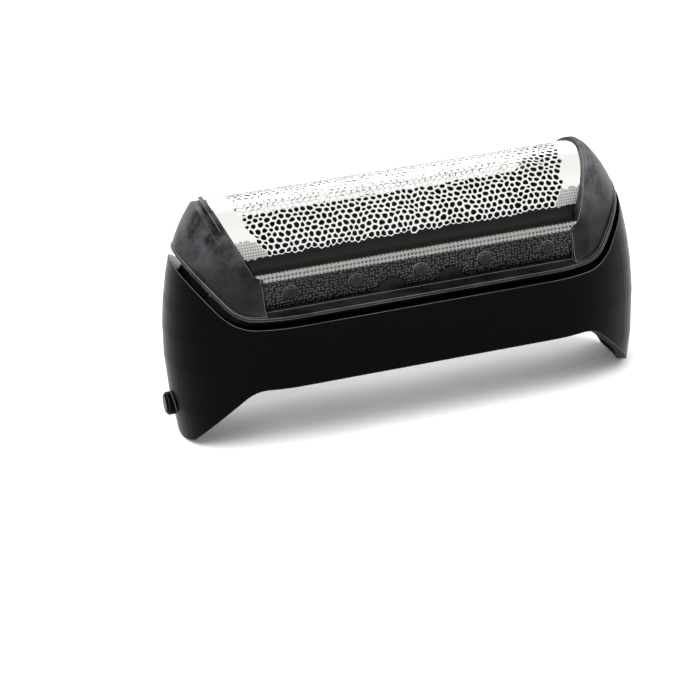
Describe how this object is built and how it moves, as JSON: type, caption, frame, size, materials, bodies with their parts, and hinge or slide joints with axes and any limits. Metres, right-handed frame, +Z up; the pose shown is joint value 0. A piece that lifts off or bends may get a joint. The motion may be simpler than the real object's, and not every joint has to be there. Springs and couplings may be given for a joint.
{
  "type": "shaver foil head",
  "caption": "Foil head of a reciprocating shaver: an arched perforated foil staked to a floating carrier with two cheeks, held in a saddle-shaped frame with two legs.",
  "frame": {"origin": "midway between the legs, level with their tips, where the shaver's body enters", "axes": "+X along the foil, -Y to the front, +Z up towards the foil"},
  "size_m": [0.0587, 0.022, 0.0287],
  "materials": {
    "outer_frame": "moulded black ABS, polished",
    "foil_carrier": "moulded black polymer, satin",
    "shaving_foil": "bright electroformed nickel"
  },
  "bodies": {
    "frame": {"outer_frame": "outer_frame"},
    "cassette": {"foil_carrier": "foil_carrier", "shaving_foil": "shaving_foil"}
  },
  "joints": [
    {"name": "foil_float", "type": "slide", "parent": "frame", "child": "cassette", "axis": [0, 0, 1], "range_m": [-0.0009, 0]}
  ]
}
